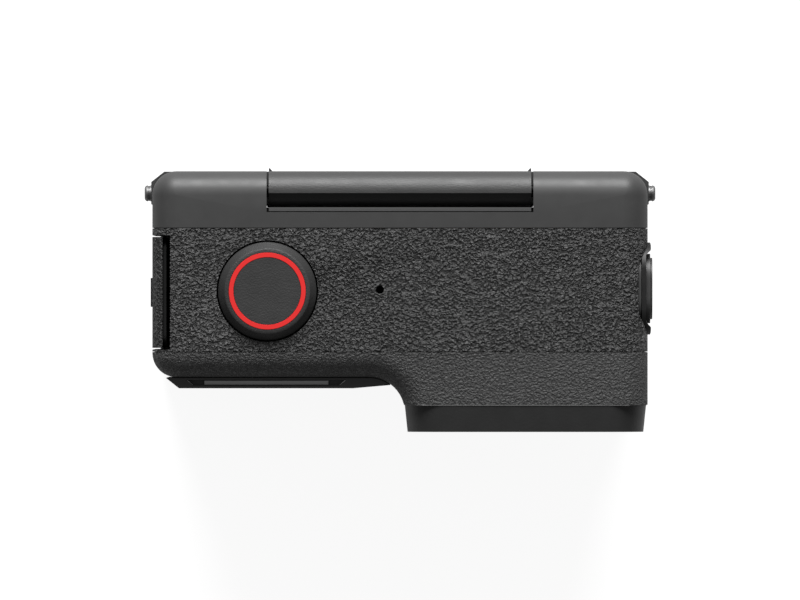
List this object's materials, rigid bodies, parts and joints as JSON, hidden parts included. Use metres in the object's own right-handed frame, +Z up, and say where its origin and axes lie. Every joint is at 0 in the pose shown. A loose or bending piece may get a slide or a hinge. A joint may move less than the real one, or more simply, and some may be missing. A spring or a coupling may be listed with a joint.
{
  "type": "action camera",
  "caption": "Pocket action camera with a grained band, square lens guard, ringed shutter button, side battery door and a screen that flips up over its top edge.",
  "frame": {"origin": "middle of the box around the camera, at the base face it stands on", "axes": "+X along the width, from the battery door to the power button; +Y to the back, from the lens to the screen; +Z up, towards the shutter button"},
  "size_m": [0.0748, 0.0382, 0.0521],
  "materials": {
    "grained_plastic": "moulded leather grain",
    "smooth_plastic": "smooth satin",
    "fine_plastic": "fine spark texture",
    "guard_paint": "satin painted",
    "shutter_plastic": "soft satin",
    "red_plastic": "pressed-in ring",
    "black_plastic": "moulded",
    "gloss_black": "polished",
    "black_rubber": "moulded",
    "lens_glass": "coated",
    "screen_glass": "polished, dark behind",
    "bright_steel": "turned and brushed",
    "dark_metal": "grey anodised",
    "copper_alloy": "rolled",
    "circuit_board": "green mask"
  },
  "bodies": {
    "camera": {"middle_band": "grained_plastic", "front_cover": "fine_plastic", "rear_frame": "smooth_plastic", "front_panel": "smooth_plastic", "slot_grille": "dark_metal", "front_gasket": "black_rubber", "rear_gasket": "black_rubber", "lens_guard": "guard_paint", "lens_window": "lens_glass", "lens_gasket": "black_rubber", "lens_barrel": "black_plastic", "lens_element_front": "lens_glass", "lens_element_middle": "lens_glass", "lens_element_rear": "lens_glass", "image_sensor": "gloss_black", "sensor_board": "circuit_board", "shutter_spring": "bright_steel", "shutter_seal": "black_rubber", "shutter_switch": "black_plastic", "power_bezel": "black_plastic", "power_switch": "black_plastic", "door_pin": "bright_steel", "hinge_pin": "bright_steel", "hinge_strip": "bright_steel", "battery_bay": "black_plastic", "battery": "black_plastic", "battery_contacts": "copper_alloy", "usb_socket": "bright_steel", "card_socket": "bright_steel", "memory_card": "gloss_black", "main_board": "circuit_board", "processor_shield": "bright_steel", "heat_spreader": "copper_alloy", "speaker": "black_plastic", "top_microphone": "bright_steel", "front_microphone": "bright_steel", "base_plate": "dark_metal", "base_magnet": "bright_steel", "base_screw_1": "bright_steel", "base_screw_2": "bright_steel", "base_screw_3": "bright_steel", "base_screw_4": "bright_steel"},
    "screen": {"screen_tray": "fine_plastic", "screen_panel": "gloss_black", "screen_glass": "screen_glass", "hinge_barrel": "black_plastic", "stud_left": "dark_metal", "stud_right": "dark_metal"},
    "shutter": {"shutter_cap": "shutter_plastic", "shutter_ring": "red_plastic", "shutter_clip": "bright_steel"},
    "power": {"power_button": "smooth_plastic"},
    "door": {"battery_door": "grained_plastic", "door_gasket": "black_rubber"},
    "latch": {"door_latch": "black_plastic"}
  },
  "joints": [
    {"name": "screen_flip", "type": "hinge", "parent": "camera", "child": "screen", "pos_m": [0, 0.01585, 0.0481], "axis": [1, 0, 0], "range_deg": [0, 180]},
    {"name": "shutter_press", "type": "slide", "parent": "camera", "child": "shutter", "axis": [0, 0, -1], "range_m": [0, 0.0007], "stiffness_N_per_m": 2000, "springref_m": -0.0004},
    {"name": "power_press", "type": "slide", "parent": "camera", "child": "power", "axis": [-1, 0, 0], "range_m": [0, 0.0004], "stiffness_N_per_m": 3000, "springref_m": -0.0003},
    {"name": "door_swing", "type": "hinge", "parent": "camera", "child": "door", "pos_m": [-0.0349, 0.0011, 0.0026], "axis": [0, -1, 0], "range_deg": [0, 90]},
    {"name": "latch_slide", "type": "slide", "parent": "door", "child": "latch", "axis": [0, 0, -1], "range_m": [0, 0.002]}
  ]
}
